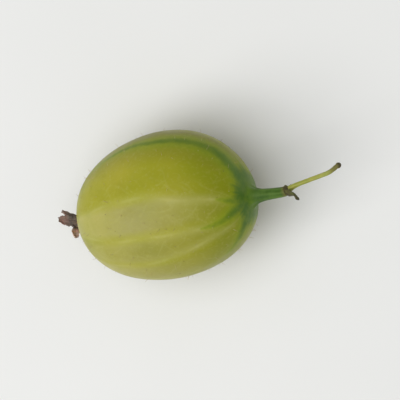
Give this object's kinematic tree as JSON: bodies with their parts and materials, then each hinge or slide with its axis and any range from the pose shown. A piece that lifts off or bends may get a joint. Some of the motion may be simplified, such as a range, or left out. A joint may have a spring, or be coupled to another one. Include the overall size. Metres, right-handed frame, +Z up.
{
  "type": "gooseberry",
  "caption": "Ripe green gooseberry as picked, lying on its side with its stalk and withered flower.",
  "frame": {"origin": "on the small flat spot that the berry rests on, under its belly", "axes": "+Z up from the surface it lies on; +X under the berry's axis, towards its stalk"},
  "size_m": [0.05, 0.0241, 0.0236],
  "materials": {
    "berry_skin": "satin",
    "green_stalk": "satin",
    "dry_bract": "matte",
    "pale_stalk": "matte",
    "dry_flower": "matte"
  },
  "bodies": {
    "root": {"berry": "berry_skin", "pedicel": "green_stalk", "bracts": "dry_bract", "peduncle": "pale_stalk", "withered_flower": "dry_flower"}
  },
  "joints": []
}
